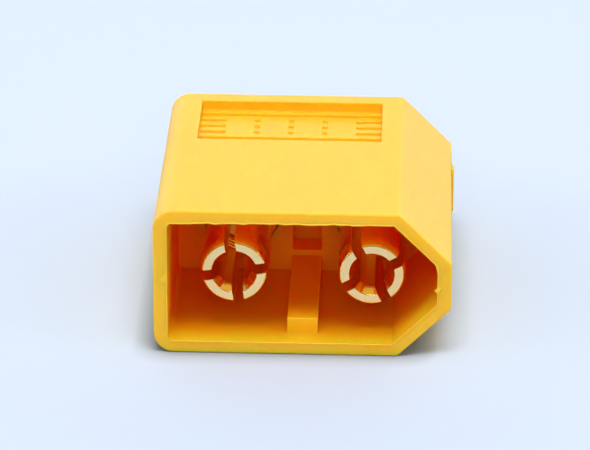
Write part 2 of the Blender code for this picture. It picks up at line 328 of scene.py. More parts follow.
def round_edges(obj, radius_of, widest, dissolve=True):
    """Rounds each sharp edge by the radius that `radius_of` gives for its middle, or leaves it at zero."""
    bm = bmesh.new()
    bm.from_mesh(obj.data)
    bmesh.ops.remove_doubles(bm, verts=bm.verts[:], dist=WELD)
    if dissolve:
        bmesh.ops.dissolve_limit(bm, angle_limit=FLAT_ANGLE, verts=bm.verts[:], edges=bm.edges[:])
    weights = bm.edges.layers.float.new("bevel_weight_edge")
    for edge in bm.edges:
        if len(edge.link_faces) == 2 and edge.calc_face_angle() > SHARP_ANGLE:
            middle = (edge.verts[0].co + edge.verts[1].co) / 2
            edge[weights] = radius_of(middle) / widest
    bm.to_mesh(obj.data)
    bm.free()
    bevel = obj.modifiers.new("rounded edges", "BEVEL")
    bevel.limit_method = "WEIGHT"
    bevel.width = widest
    bevel.segments = CORNER_STEPS
    bevel.use_clamp_overlap = False
    apply_modifiers(obj)


def shade(obj):
    obj.data.shade_smooth()
    obj.data.set_sharp_from_angle(angle=SHADING_ANGLE)
    normals = obj.modifiers.new("flat faces stay flat", "WEIGHTED_NORMAL")
    normals.keep_sharp = True


# Materials

class Nodes:
    """A material's node tree, with short calls that add a node and link it."""

    def __init__(self, name):
        self.material = bpy.data.materials.new(name)
        self.material.use_nodes = True
        self.tree = self.material.node_tree
        self.shader = self.tree.nodes["Principled BSDF"]
        self.place = self.add("ShaderNodeTexCoord").outputs["Object"]

    def add(self, kind, **settings):
        node = self.tree.nodes.new(kind)
        for key, value in settings.items():
            setattr(node, key, value)
        return node

    def link(self, output, socket):
        self.tree.links.new(output, socket)

    def noise(self, scales, detail=3.0):
        """Noise from 0 to 1, with `scales` features a metre along the axes or one number for all."""
        if not isinstance(scales, tuple):
            scales = (scales, scales, scales)
        mapping = self.add("ShaderNodeMapping")
        mapping.inputs["Scale"].default_value = scales
        self.link(self.place, mapping.inputs["Vector"])
        texture = self.add("ShaderNodeTexNoise")
        texture.inputs["Scale"].default_value = 1.0
        texture.inputs["Detail"].default_value = detail
        self.link(mapping.outputs["Vector"], texture.inputs["Vector"])
        return texture.outputs["Fac"]

    def ramp(self, value, low, high, from_low=0.0, from_high=1.0):
        """`value` carried from one range to another, and held at its ends."""
        node = self.add("ShaderNodeMapRange")
        node.inputs["From Min"].default_value = from_low
        node.inputs["From Max"].default_value = from_high
        node.inputs["To Min"].default_value = low
        node.inputs["To Max"].default_value = high
        self.link(value, node.inputs["Value"])
        return node.outputs["Result"]

    def mix(self, factor, first, second):
        """A colour between two, each a colour or a socket."""
        node = self.add("ShaderNodeMix", data_type="RGBA")
        self.link(factor, node.inputs[0])
        for value, socket in ((first, node.inputs[6]), (second, node.inputs[7])):
            if isinstance(value, tuple):
                socket.default_value = (*value, 1.0)
            else:
                self.link(value, socket)
        return node.outputs[2]

    def bump(self, heights):
        """Layers of bump, each a height and how tall it is in metres."""
        normal = None
        for height, distance in heights:
            node = self.add("ShaderNodeBump")
            node.inputs["Distance"].default_value = distance
            self.link(height, node.inputs["Height"])
            if normal:
                self.link(normal, node.inputs["Normal"])
            normal = node.outputs["Normal"]
        self.link(normal, self.shader.inputs["Normal"])

    def spot(self, place, reach, strength):
        """A soft ellipsoid round a place: `strength` at its middle and 0 at its reach along each axis."""
        mapping = self.add("ShaderNodeMapping", vector_type="TEXTURE")
        mapping.inputs["Location"].default_value = place
        mapping.inputs["Scale"].default_value = reach
        self.link(self.place, mapping.inputs["Vector"])
        ball = self.add("ShaderNodeTexGradient", gradient_type="SPHERICAL")
        self.link(mapping.outputs["Vector"], ball.inputs["Vector"])
        faded = self.ramp(ball.outputs["Fac"], 0.0, strength)
        faded.node.interpolation_type = "SMOOTHSTEP"
        return faded

    def axis(self, name, of="Object"):
        """One coordinate of the place on the piece, or of its surface's normal."""
        node = self.add("ShaderNodeSeparateXYZ")
        self.link(self.place.node.outputs[of], node.inputs[0])
        return node.outputs[name]

    def sum(self, first, second, weight):
        """`first` with a share of `second` added."""
        node = self.add("ShaderNodeMath", operation="MULTIPLY_ADD")
        self.link(second, node.inputs[0])
        node.inputs[1].default_value = weight
        self.link(first, node.inputs[2])
        return node.outputs[0]


# Nylon: colours, how deep the light soaks in and what share of that each colour goes
YELLOW = (0.93, 0.56, 0.012)
YELLOW_DEEPER = (0.915, 0.53, 0.010)
NYLON_IOR = 1.45
OUTER_SOAK = 0.8 * MM
OUTER_SOAK_RADII = (1.0, 0.25, 0.03)
INNER_SOAK = 1.6 * MM
INNER_SOAK_RADII = (1.0, 0.12, 0.02)
CEILING_SOAK_RADII = (1.0, 0.5, 0.03)

# Painted light and shade inside the shroud: colours near the mouth and deep inside, of walls, ceiling and
# what faces the mouth, in place of the shade and bounced light there
PAINTED_SHADING_WALL_NEAR = (0.97, 0.34, 0.001)
PAINTED_SHADING_WALL_DEEP = (0.99, 0.19, 0.001)
PAINTED_SHADING_CEILING_NEAR = (0.96, 0.66, 0.004)
PAINTED_SHADING_CEILING_DEEP = (0.98, 0.45, 0.001)
PAINTED_SHADING_FACING_NEAR = (0.97, 0.50, 0.001)
PAINTED_SHADING_FACING_DEEP = (0.99, 0.30, 0.001)
PAINTED_SHADING_NEAR_DEPTH = 1.1 * MM
PAINTED_SHADING_DEEP_DEPTH = 3.2 * MM
PAINTED_SHADING_LEAN = 0.45

# How far a surface's normal points down, or to the mouth, where it has all of that painted shading colour
# and none of it
PAINTED_SHADING_CEILING_NORMALS = (-0.9, -0.6)
PAINTED_SHADING_FACING_NORMALS = (-0.9, -0.3)

# Nylon: features a metre of its patterns, ranges of roughness and heights of bump
FLOW_SCALES = (420, 189, 420)
BLOTCH_SCALE = 900
GRAIN_SCALE = 14000
WAVE_SCALE = 260
WAVE_HEIGHT = 0.012 * MM
OUTER_ROUGHNESS = (0.40, 0.50)
OUTER_GRAIN = 0.0015 * MM
INNER_ROUGHNESS = (0.36, 0.46)
FLASH_ROUGHNESS = (0.32, 0.42)
FINE_GRAIN = 0.0010 * MM

# A speck and two faint scuffs in front of the upper panel: place, reach along each axis and strength
NICK_COLOUR = (0.30, 0.16, 0.001)
NICKS = (
    ((0.87 * MM, 9.66 * MM, BODY_HEIGHT), (0.13 * MM, 0.16 * MM, 0.2 * MM), 1.0),
    ((0.65 * MM, 9.70 * MM, BODY_HEIGHT), (0.09 * MM, 0.25 * MM, 0.2 * MM), 0.5),
    ((0.21 * MM, 9.12 * MM, BODY_HEIGHT), (0.20 * MM, 0.14 * MM, 0.2 * MM), 0.3),
)

# Turned metal
GILT = (0.99, 0.70, 0.22)
GILT_DEEPER = (0.97, 0.64, 0.17)
STAIN_SCALE = 1500
TURNING_SCALES = (300, 16000, 300)
TURNING_HEIGHT = 0.0012 * MM
TURNED_ROUGHNESS = (0.08, 0.17)
TURNED_WAVE_SCALE = 700
TURNED_WAVE_HEIGHT = 0.004 * MM

# Sawn and bored metal
SAWN = (0.99, 0.60, 0.14)
SAWN_DEEPER = (0.96, 0.52, 0.10)
SAWN_GRAZING = (1.0, 0.6, 0.22)
STREAK_SCALES = (5000, 350, 5000)
STREAK_HEIGHT = 0.003 * MM
SAWN_ROUGHNESS = (0.24, 0.38)

# Faced-off metal
FACED = (0.99, 0.75, 0.37)
FACED_DEEPER = (0.98, 0.70, 0.33)
FACED_METALLIC = 0.55
SCRATCH_SCALE = 9000
SCRATCH_HEIGHT = 0.002 * MM
FACED_ROUGHNESS = (0.34, 0.48)


def plastic(name, roughness, grain, soak_depth, soak_radii):
    nodes = Nodes(name)
    shader = nodes.shader
    colour = nodes.mix(nodes.noise(FLOW_SCALES, detail=4.0), YELLOW, YELLOW_DEEPER)
    for place, reach, strength in NICKS:
        colour = nodes.mix(nodes.spot(place, reach, strength), colour, NICK_COLOUR)
    nodes.link(colour, shader.inputs["Base Color"])
    nodes.link(nodes.ramp(nodes.noise(BLOTCH_SCALE), *roughness), shader.inputs["Roughness"])
    grains = nodes.noise(GRAIN_SCALE, detail=2.0)
    waves = nodes.noise(WAVE_SCALE, detail=1.0)
    nodes.bump([(grains, grain), (waves, WAVE_HEIGHT)])
    shader.inputs["IOR"].default_value = NYLON_IOR
    shader.inputs["Subsurface Weight"].default_value = 1.0
    shader.inputs["Subsurface Radius"].default_value = soak_radii
    shader.inputs["Subsurface Scale"].default_value = soak_depth
    return nodes


def outer_plastic():
    return plastic("moulded_nylon", OUTER_ROUGHNESS, OUTER_GRAIN, OUTER_SOAK, OUTER_SOAK_RADII).material


def flash_plastic():
    """The same nylon where it is too thin to hold any light."""
    nodes = plastic("moulded_nylon_flash", FLASH_ROUGHNESS, FINE_GRAIN, OUTER_SOAK, OUTER_SOAK_RADII)
    nodes.shader.inputs["Subsurface Weight"].default_value = 0.0
    return nodes.material


def shroud_plastic_painted_shading():
    """The same nylon inside the shroud, into which light soaks deeper, with painted light and shade: its
    colour changes with distance from the mouth and differs between walls, ceiling and what faces the mouth.
    """
    nodes = plastic("moulded_nylon_inside_painted_shading", INNER_ROUGHNESS, FINE_GRAIN, INNER_SOAK, INNER_SOAK_RADII)
    shader = nodes.shader
    surface = shader.inputs["Base Color"].links[0].from_socket
    # Painted shading: the upper surfaces see more of the bright floor in front, so their painted colour
    # deepens further back
    depth = nodes.sum(nodes.axis("Y"), nodes.axis("Z"), -PAINTED_SHADING_LEAN)
    start = nodes.ramp(depth, 0.0, 1.0, 0.0, PAINTED_SHADING_NEAR_DEPTH)
    deep = nodes.ramp(depth, 0.0, 1.0, PAINTED_SHADING_NEAR_DEPTH, PAINTED_SHADING_DEEP_DEPTH)
    level_deep = nodes.ramp(nodes.axis("Y"), 0.0, 1.0, PAINTED_SHADING_NEAR_DEPTH, PAINTED_SHADING_DEEP_DEPTH)
    walls = nodes.mix(deep, nodes.mix(start, surface, PAINTED_SHADING_WALL_NEAR), PAINTED_SHADING_WALL_DEEP)
    ceiling = nodes.mix(level_deep, PAINTED_SHADING_CEILING_NEAR, PAINTED_SHADING_CEILING_DEEP)
    facing = nodes.mix(deep, PAINTED_SHADING_FACING_NEAR, PAINTED_SHADING_FACING_DEEP)
    faces_down = nodes.ramp(nodes.axis("Z", "Normal"), 1.0, 0.0, *PAINTED_SHADING_CEILING_NORMALS)
    faces_mouth = nodes.ramp(nodes.axis("Y", "Normal"), 1.0, 0.0, *PAINTED_SHADING_FACING_NORMALS)
    colour = nodes.mix(faces_mouth, nodes.mix(faces_down, walls, ceiling), facing)
    nodes.link(colour, shader.inputs["Base Color"])
    radii = nodes.mix(faces_down, INNER_SOAK_RADII, CEILING_SOAK_RADII)
    nodes.link(radii, shader.inputs["Subsurface Radius"])
    return nodes.material


def turned_metal():
    nodes = Nodes("gilt_turned_brass")
    shader = nodes.shader
    shader.inputs["Metallic"].default_value = 1.0
    nodes.link(nodes.mix(nodes.noise(STAIN_SCALE), GILT, GILT_DEEPER), shader.inputs["Base Color"])
    turning = nodes.noise(TURNING_SCALES, detail=2.0)
    waves = nodes.noise(TURNED_WAVE_SCALE, detail=2.0)
    nodes.link(nodes.ramp(turning, *TURNED_ROUGHNESS), shader.inputs["Roughness"])
    nodes.bump([(turning, TURNING_HEIGHT), (waves, TURNED_WAVE_HEIGHT)])
    return nodes.material


def sawn_metal():
    """The bore and the saw cuts, where the plating is thin and the tools' marks run lengthwise."""
    nodes = Nodes("gilt_sawn_brass")
    shader = nodes.shader
    shader.inputs["Metallic"].default_value = 1.0
    shader.inputs["Specular Tint"].default_value = (*SAWN_GRAZING, 1.0)
    streaks = nodes.noise(STREAK_SCALES)
    nodes.link(nodes.mix(streaks, SAWN, SAWN_DEEPER), shader.inputs["Base Color"])
    nodes.link(nodes.ramp(streaks, *SAWN_ROUGHNESS), shader.inputs["Roughness"])
    nodes.bump([(streaks, STREAK_HEIGHT)])
    return nodes.material


def faced_metal():
    """The faced-off ends of the petals: finely scratched, so that they scatter the light."""
    nodes = Nodes("gilt_faced_end")
    shader = nodes.shader
    shader.inputs["Metallic"].default_value = FACED_METALLIC
    scratches = nodes.noise(SCRATCH_SCALE, detail=2.0)
    nodes.link(nodes.mix(scratches, FACED, FACED_DEEPER), shader.inputs["Base Color"])
    nodes.link(nodes.ramp(scratches, *FACED_ROUGHNESS), shader.inputs["Roughness"])
    nodes.bump([(scratches, SCRATCH_HEIGHT)])
    return nodes.material


# Housing

def groove_centres():
    """Y of each groove of a grip panel, from the rear one forwards."""
    rear = BODY_LENGTH - PANEL_REAR_MARGIN
    count = int((PANEL_LENGTH - FIRST_GROOVE - GROOVE_WIDTH / 2) / GROOVE_PITCH) + 1
    return [rear - FIRST_GROOVE - GROOVE_PITCH * i for i in range(count)]


def groove_spans(with_lands):
    """The stretches in X that a groove is cut in, between the panel's ends and any lands."""
    left = PANEL_OFFSET_X - PANEL_WIDTH / 2
    right = PANEL_OFFSET_X + PANEL_WIDTH / 2
    if not with_lands:
        return [(left, right)]
    spans = []
    for index in range(LAND_COUNT):
        centre = PANEL_OFFSET_X + LAND_PITCH * (index - (LAND_COUNT - 1) / 2)
        spans.append((left, centre - LAND_WIDTH / 2))
        left = centre + LAND_WIDTH / 2
    return spans + [(left, right)]


def grip_panel_tools(upper):
    """The sunk panel, and then the grooves in its bottom."""
    outward = 1 if upper else -1
    surface = BODY_HEIGHT if upper else 0.0
    bottom = surface - outward * PANEL_DEPTH
    outer = surface + outward * OVERRUN
    inner = bottom - outward * GROOVE_DEPTH
    above = bottom + outward * PANEL_DEPTH / 2
    rear = BODY_LENGTH - PANEL_REAR_MARGIN
    left = PANEL_OFFSET_X - PANEL_WIDTH / 2
    right = PANEL_OFFSET_X + PANEL_WIDTH / 2
    sunk = boxes("panel", [(
        (left, rear - PANEL_LENGTH, min(bottom, outer)),
        (right, rear, max(bottom, outer)),
    )])
    grooves = []
    for index, centre in enumerate(groove_centres()):
        for start, end in groove_spans(upper and index in LAND_GROOVES):
            low = (start, centre - GROOVE_WIDTH / 2, min(inner, above))
            high = (end, centre + GROOVE_WIDTH / 2, max(inner, above))
            grooves.append((low, high))
    return [("DIFFERENCE", sunk), ("DIFFERENCE", boxes("grooves", grooves))]


def outer_solid():
    """The body, whose narrow and key sides draw in by the draft from the rear to the mating face."""
    def outline(inset, draft):
        radius = SQUARE_CORNER_RADIUS - inset
        return keyed_outline(inset + draft, inset, inset + draft, radius, KEY_CORNER_RADIUS - inset)

    front = [(depth, outline(inset, SIDE_DRAFT)) for depth, inset in rounding(FRONT_ROUND)]
    rear = [(BODY_LENGTH - depth, outline(inset, 0.0)) for depth, inset in reversed(rounding(REAR_ROUND))]
    return loft("housing_moulding", front + rear)


def cavity_outline(flare):
    """The shroud's inner outline, whose ceiling rises a little towards the key."""
    walls = (SIDE_WALL - flare, BROAD_WALL - flare, KEY_WALL - flare)
    outline = keyed_outline(*walls, CAVITY_CORNER_RADIUS + flare, CAVITY_KEY_RADIUS + flare)
    for point in outline:
        if point.y > AXIS_HEIGHT:
            point.y += CEILING_SLOPE * (point.x + BODY_WIDTH / 2)
    return outline


def cavity_tool():
    mouth = [(depth, cavity_outline(flare)) for depth, flare in rounding(MOUTH_ROUND)]
    in_front = (-OVERRUN, cavity_outline(MOUTH_ROUND))
    back = (CAVITY_DEPTH, cavity_outline(0.0))
    return loft("cavity", [in_front] + mouth + [back])


def bore_tool(centre_x):
    profile = [
        (0, CAVITY_DEPTH - EMBED),
        (BORE_RADIUS, CAVITY_DEPTH - EMBED),
        (BORE_RADIUS, BODY_LENGTH + OVERRUN),
        (0, BODY_LENGTH + OVERRUN),
    ]
    bore = turned("bore", profile)
    bore.location = (centre_x, 0, AXIS_HEIGHT)
    return bore


def side_rib_tool(sign):
    rib_y = BODY_LENGTH - SIDE_RIB_FROM_REAR
    inner_x = sign * (BODY_WIDTH / 2 - EMBED)
    outer_x = sign * (BODY_WIDTH / 2 + SIDE_RIB_PROUD)
    low = (min(inner_x, outer_x), rib_y - SIDE_RIB_WIDTH / 2, AXIS_HEIGHT - SIDE_RIB_HEIGHT / 2)
    high = (max(inner_x, outer_x), rib_y + SIDE_RIB_WIDTH / 2, AXIS_HEIGHT + SIDE_RIB_HEIGHT / 2)
    return boxes("side rib", [(low, high)])


def housing_edge_radius(middle):
    below_face = min(middle.z, BODY_HEIGHT - middle.z)
    if abs(below_face) < WELD:
        return PANEL_RIM_ROUND
    if below_face < PANEL_DEPTH + GROOVE_DEPTH + LAP and middle.y > CAVITY_DEPTH:
        return GROOVE_ROUND
    return EDGE_ROUND


def make_housing():
    housing = outer_solid()
    floor_rib = boxes("floor rib", [(
        (-RIB_WIDTH / 2, RIB_SETBACK, BROAD_WALL - EMBED),
        (RIB_WIDTH / 2, CAVITY_DEPTH + EMBED, BROAD_WALL + RIB_HEIGHT),
    )])
    pocket = boxes("pocket", [(
        (-POCKET_WIDTH / 2, CAVITY_DEPTH - EMBED, AXIS_HEIGHT - POCKET_HEIGHT / 2),
        (POCKET_WIDTH / 2, CAVITY_DEPTH + POCKET_DEPTH, AXIS_HEIGHT + POCKET_HEIGHT / 2),
    )])
    tools = [("DIFFERENCE", cavity_tool()), ("DIFFERENCE", pocket)]
    tools += [("DIFFERENCE", bore_tool(sign * CONTACT_OFFSET)) for sign in (-1, 1)]
    tools += grip_panel_tools(upper=True) + grip_panel_tools(upper=False)
    tools += [("UNION", floor_rib)]
    tools += [("UNION", side_rib_tool(sign)) for sign in (-1, 1)]
    combine(housing, tools)
    round_edges(housing, housing_edge_radius, PANEL_RIM_ROUND)
    shade(housing)
    housing.data.materials.append(outer_plastic())
    housing.data.materials.append(shroud_plastic_painted_shading())
    # Faces inside the shroud take the nylon with painted light and shade
    for face in housing.data.polygons:
        face.material_index = int(is_inside_shroud(face.center))
    return housing


def spaced(outline, step):
    """Points about `step` apart along a closed outline."""
    points = []
    for start, end in zip(outline, outline[1:] + outline[:1]):
        count = max(1, round((end - start).length / step))
        points += [start.lerp(end, part / count) for part in range(count)]
    return points


def wander(index, knots):
    """A smooth random swing from -1 to 1 along a row of steps, by a random value every few steps."""
    knot, step = divmod(index, FLASH_KNOT_STEPS)
    share = (1 - math.cos(step / FLASH_KNOT_STEPS * math.pi)) / 2
    return knots[knot] * (1 - share) + knots[knot + 1] * share


def bead_ring(bm, centre, inward, radius):
    ring = []
    for side in range(FLASH_SIDES):
        turn = 2 * math.pi * side / FLASH_SIDES
        place = centre + inward * radius * math.cos(turn)
        ring.append(bm.verts.new((place.x, radius * math.sin(turn), place.y)))
    return ring


def add_torn_edge(bm, corners):
    """A bead that swells along a torn edge on the rim and thins out at its ends."""
    path = [Vector(corner) * MM for corner in corners]
    rings = []
    for index, point in enumerate(path):
        along = (path[min(index + 1, len(path) - 1)] - path[max(index - 1, 0)]).normalized()
        share = index / (len(path) - 1)
        radius = FLASH_RADIUS * (TORN_END_SIZE + TORN_SWELL * math.sin(share * math.pi))
        rings.append(bead_ring(bm, point, Vector((-along.y, along.x)), radius))
    skin(bm, rings)


def add_bead(bm):
    """The bead along the mouth's edge, which wanders most along the upper broad wall."""
    path = spaced(cavity_outline(FLASH_FLARE), FLASH_STEP)
    knots = [random.uniform(-1, 1) for _ in range(len(path) // FLASH_KNOT_STEPS + 2)]
    rings = []
    for index, point in enumerate(path):
        along = (path[(index + 1) % len(path)] - path[index - 1]).normalized()
        inward = Vector((-along.y, along.x))
        on_top = point.y > BODY_HEIGHT - BROAD_WALL - FLASH_RADIUS and abs(inward.x) < FACING_SHARE
        swing = wander(index, knots)
        centre = point + inward * swing * (FLASH_WANDER_TOP if on_top else FLASH_WANDER)
        rings.append(bead_ring(bm, centre, inward, FLASH_RADIUS))
    skin(bm, rings + [rings[0]], capped=False)


def add_flake(bm, corners):
    """A low flake that stands on the rim, its edges rounded off towards the front."""
    corners = [Vector(corner) * MM for corner in corners]
    middle = sum(corners, Vector((0, 0))) / len(corners)
    rings = []
    for depth, size in FLAKE_SECTIONS:
        places = [middle.lerp(corner, size) for corner in corners]
        rings.append([bm.verts.new((place.x, depth, place.y)) for place in places])
    skin(bm, rings)


def make_flash():
    random.seed(FLASH_SEED)
    bm = bmesh.new()
    add_bead(bm)
    for corners in FLAKES:
        add_flake(bm, corners)
    for corners in TORN_EDGES:
        add_torn_edge(bm, corners)
    flash = new_object("moulding_flash", bm)
    shade(flash)
    flash.data.materials.append(flash_plastic())
    return flash


def is_inside_shroud(point):
    """Whether a point of the housing's surface is on the cavity's walls, its back wall or the pocket's."""
    half_width = BODY_WIDTH / 2 - SIDE_WALL / 2
    half_height = BODY_HEIGHT / 2 - BROAD_WALL / 2
    deep_enough = MOUTH_ROUND < point.y < CAVITY_DEPTH + POCKET_DEPTH + WELD
    slant = BODY_WIDTH / 2 - KEY_CHAMFER / 2 + AXIS_HEIGHT - KEY_CHAMFER / 2
    within_key = point.x + abs(point.z - AXIS_HEIGHT) < slant - KEY_WALL / math.sqrt(2)
    past_back_wall = point.y > CAVITY_DEPTH + WELD and abs(point.x) > POCKET_WIDTH / 2 + EDGE_ROUND
    inside = abs(point.x) < half_width and abs(point.z - AXIS_HEIGHT) < half_height
    return deep_enough and inside and within_key and not past_back_wall


# Contacts

TURNED_FINISH, FACED_FINISH, SAWN_FINISH = range(3)


def outer_radius(behind):
    """The radius of the petals' outside at a distance behind the tip: a swell, then a slow taper."""
    if behind < TIP_TAPER:
        return TIP_RADIUS + (BARREL_RADIUS - TIP_RADIUS) * math.sin(behind / TIP_TAPER * math.pi / 2)
    share = min(1, (behind - TIP_TAPER) / (SLOT_LENGTH - TIP_TAPER))
    return BARREL_RADIUS - (BARREL_RADIUS - ROOT_RADIUS) * (1 - math.cos(share * math.pi)) / 2


def inner_radius(behind):
    """The radius of the socket: a countersink, a plain bore, and steep-flanked ridges at its far end."""
    if behind < COUNTERSINK_DEPTH:
        return SOCKET_MOUTH_RADIUS + (SOCKET_RADIUS - SOCKET_MOUTH_RADIUS) * behind / COUNTERSINK_DEPTH
    ridged = behind - (SOCKET_DEPTH - RIDGED_LENGTH)
    if ridged < 0:
        return SOCKET_RADIUS
    along = ridged % RIDGE_PITCH
    flank = RIDGE_PITCH - RIDGE_FLANK
    if along < flank:
        return SOCKET_RADIUS + RIDGE_HEIGHT * along / flank
    return SOCKET_RADIUS + RIDGE_HEIGHT * (RIDGE_PITCH - along) / RIDGE_FLANK


def tip_rounding(behind):
    """How far the rounded outer edge of the tip has drawn in."""
    short = max(0, TIP_EDGE - behind)
    return TIP_EDGE - math.sqrt(TIP_EDGE ** 2 - short ** 2)


def petal_outline(behind, inset):
    """A quarter of the split barrel between two saw cuts, its corners rounded, in the cuts' own axes."""
    outer = outer_radius(behind) - max(tip_rounding(behind), inset)
    inner = inner_radius(behind) + inset
    side = SLOT_WIDTH / 2 + inset
    outer_end = math.sqrt(outer ** 2 - side ** 2)
    inner_end = math.sqrt(inner ** 2 - side ** 2)

    def arc(radius, start, end):
        angles = []
        for step in range(PETAL_ARC_STEPS + 1):
            angles.append(start + (end - start) * step / PETAL_ARC_STEPS)
        return [Vector((radius * math.cos(a), radius * math.sin(a))) for a in angles]

    def corner(start, tip, end):
        points = []
        for step in range(1, CORNER_STEPS):
            share = step / CORNER_STEPS
            points.append(start * (1 - share) ** 2 + tip * 2 * share * (1 - share) + end * share ** 2)
        return points

    outer_start = math.asin(side / outer) + PETAL_EDGE / outer
    inner_start = math.asin(side / inner) + PETAL_EDGE / inner
    outer_arc = arc(outer, outer_start, math.pi / 2 - outer_start)
    inner_arc = arc(inner, math.pi / 2 - inner_start, inner_start)
    left_top = Vector((side, outer_end - PETAL_EDGE))
    left_bottom = Vector((side, inner_end + PETAL_EDGE))
    right_bottom = Vector((inner_end + PETAL_EDGE, side))
    right_top = Vector((outer_end - PETAL_EDGE, side))
    return (
        outer_arc
        + corner(outer_arc[-1], Vector((side, outer_end)), left_top)
        + [left_top, left_bottom]
        + corner(left_bottom, Vector((side, inner_end)), inner_arc[0])
        + inner_arc
        + corner(inner_arc[-1], Vector((inner_end, side)), right_bottom)
        + [right_bottom, right_top]
        + corner(right_top, Vector((outer_end, side)), outer_arc[0])
    )


def petal_stations():
    """Distance behind the tip and inset of each section of a petal, from the tip back."""
    smooth_end = SOCKET_DEPTH - RIDGED_LENGTH
    plain = [depth for depth, _ in rounding(TIP_EDGE) if depth > PETAL_EDGE + LAP]
    for step in range(1, PETAL_SECTIONS + 1):
        share = step / PETAL_SECTIONS
        plain.append(TIP_EDGE + (TIP_TAPER - TIP_EDGE) * share)
        plain.append(COUNTERSINK_DEPTH + (smooth_end - COUNTERSINK_DEPTH) * share)
    ridge = smooth_end + RIDGE_PITCH
    while ridge < SLOT_LENGTH:
        plain += [ridge - RIDGE_FLANK, ridge]
        ridge += RIDGE_PITCH
    plain += [COUNTERSINK_DEPTH, SLOT_LENGTH]
    stations = rounding(PETAL_EDGE) + [(depth, 0.0) for depth in plain]
    return sorted(stations) + [(SLOT_LENGTH + EMBED, LAP)]


def petals(slot_turn):
    bm = bmesh.new()
    for quarter in range(4):
        turn = slot_turn + quarter * math.pi / 2
        rings = []
        for behind, inset in petal_stations():
            ring = []
            for point in petal_outline(behind, inset):
                place = rotated(point, turn)
                ring.append(bm.verts.new((place.x, behind, place.y)))
            rings.append(ring)
        skin(bm, rings)
    return new_object("petals", bm)


def rounded_profile(corners):
    """Pairs of radius and Y along a profile of (radius, Y, rounding) corners."""
    points = [Vector(corner[:2]) for corner in corners]
    profile = [points[0]]
    for index in range(1, len(corners) - 1):
        edge = corners[index][2]
        if edge:
            profile += fillet(*points[index - 1:index + 2], edge, EDGE_STEPS)
        else:
            profile.append(points[index])
    return profile + [points[-1]]


def root_profile():
    """From the socket's bottom, round the collar, shank and cup, to the cup's bottom."""
    collar = CAVITY_DEPTH - COLLAR_PROUD - TIP_SETBACK
    shoulder = CONTACT_LENGTH - CUP_LENGTH
    cup_bottom = CONTACT_LENGTH - CUP_DEPTH
    socket = SOCKET_RADIUS - LAP
    return rounded_profile([
        (0, SOCKET_DEPTH + DRILL_POINT, 0),
        (socket, SOCKET_DEPTH, 0),
        (socket, SLOT_LENGTH, PETAL_EDGE),
        (ROOT_RADIUS + LAP, SLOT_LENGTH, PETAL_EDGE),
        (ROOT_RADIUS + LAP, collar, 0),
        (COLLAR_RADIUS, collar, COLLAR_EDGE),
        (COLLAR_RADIUS, collar + COLLAR_LENGTH, COLLAR_EDGE),
        (SHANK_RADIUS, collar + COLLAR_LENGTH, 0),
        (SHANK_RADIUS, shoulder - COLLAR_LENGTH, 0),
        (COLLAR_RADIUS, shoulder - COLLAR_LENGTH, COLLAR_EDGE),
        (COLLAR_RADIUS, shoulder, 0),
        (CUP_RADIUS, shoulder, CUP_EDGE),
        (CUP_RADIUS, CONTACT_LENGTH, CUP_EDGE),
        (CUP_BORE_RADIUS, CONTACT_LENGTH, PETAL_EDGE),
        (CUP_BORE_RADIUS, cup_bottom, PETAL_EDGE),
        (0, cup_bottom - DRILL_POINT, 0),
    ])


def contact_edge_radius(middle):
    """Only the edges of the cup's opening are left sharp by the cut."""
    ring_end = CONTACT_LENGTH - CUP_LENGTH + CUP_RING_LENGTH
    on_lip = abs(middle.z - CUP_LIP_RISE) < WELD
    on_ring = abs(middle.y - ring_end) < WELD and middle.z > CUP_LIP_RISE - WELD
    return PETAL_EDGE if middle.y > ring_end - WELD and (on_lip or on_ring) else 0.0


def finish_of(face):
    """Which of a contact's three finishes a face has; a ridge's steep flank is bright like the outside."""
    behind = face.center.y
    if abs(behind) < WELD:
        return FACED_FINISH
    radius = math.hypot(face.center.x, face.center.z)
    among_ridges = SOCKET_DEPTH - RIDGED_LENGTH < behind < SLOT_LENGTH - LAP
    on_flank = among_ridges and face.normal.y < -FACING_SHARE
    if on_flank and radius < SOCKET_RADIUS + RIDGE_HEIGHT:
        return TURNED_FINISH
    past_countersink = COUNTERSINK_DEPTH + LAP < behind < SOCKET_DEPTH + DRILL_POINT
    in_bore = past_countersink and radius < SOCKET_RADIUS + RIDGE_HEIGHT + LAP
    in_cut = PETAL_EDGE < behind < SLOT_LENGTH + PETAL_EDGE and radius < outer_radius(behind) - LAP
    around = face.normal.x * face.center.z - face.normal.z * face.center.x
    faces_around = abs(around) > radius * FACING_SHARE
    ends_cut = behind > SLOT_LENGTH - LAP and abs(face.normal.y) > FACING_SHARE
    return SAWN_FINISH if in_bore or (in_cut and (faces_around or ends_cut)) else TURNED_FINISH


def make_contact(name, centre_x, slot_turn, materials):
    contact = turned(name, root_profile())
    reach = CUP_RADIUS + OVERRUN
    ring_end = CONTACT_LENGTH - CUP_LENGTH + CUP_RING_LENGTH
    opening = boxes("cup opening", [(
        (-reach, ring_end, CUP_LIP_RISE),
        (reach, CONTACT_LENGTH + OVERRUN, reach),
    )])
    combine(contact, [("UNION", petals(slot_turn)), ("DIFFERENCE", opening)])
    round_edges(contact, contact_edge_radius, PETAL_EDGE, dissolve=False)
    shade(contact)
    for finish in sorted(materials):
        contact.data.materials.append(materials[finish])
    for face in contact.data.polygons:
        face.material_index = finish_of(face)
    contact.location = (centre_x, TIP_SETBACK, AXIS_HEIGHT)
    return contact


# Stage, light and camera

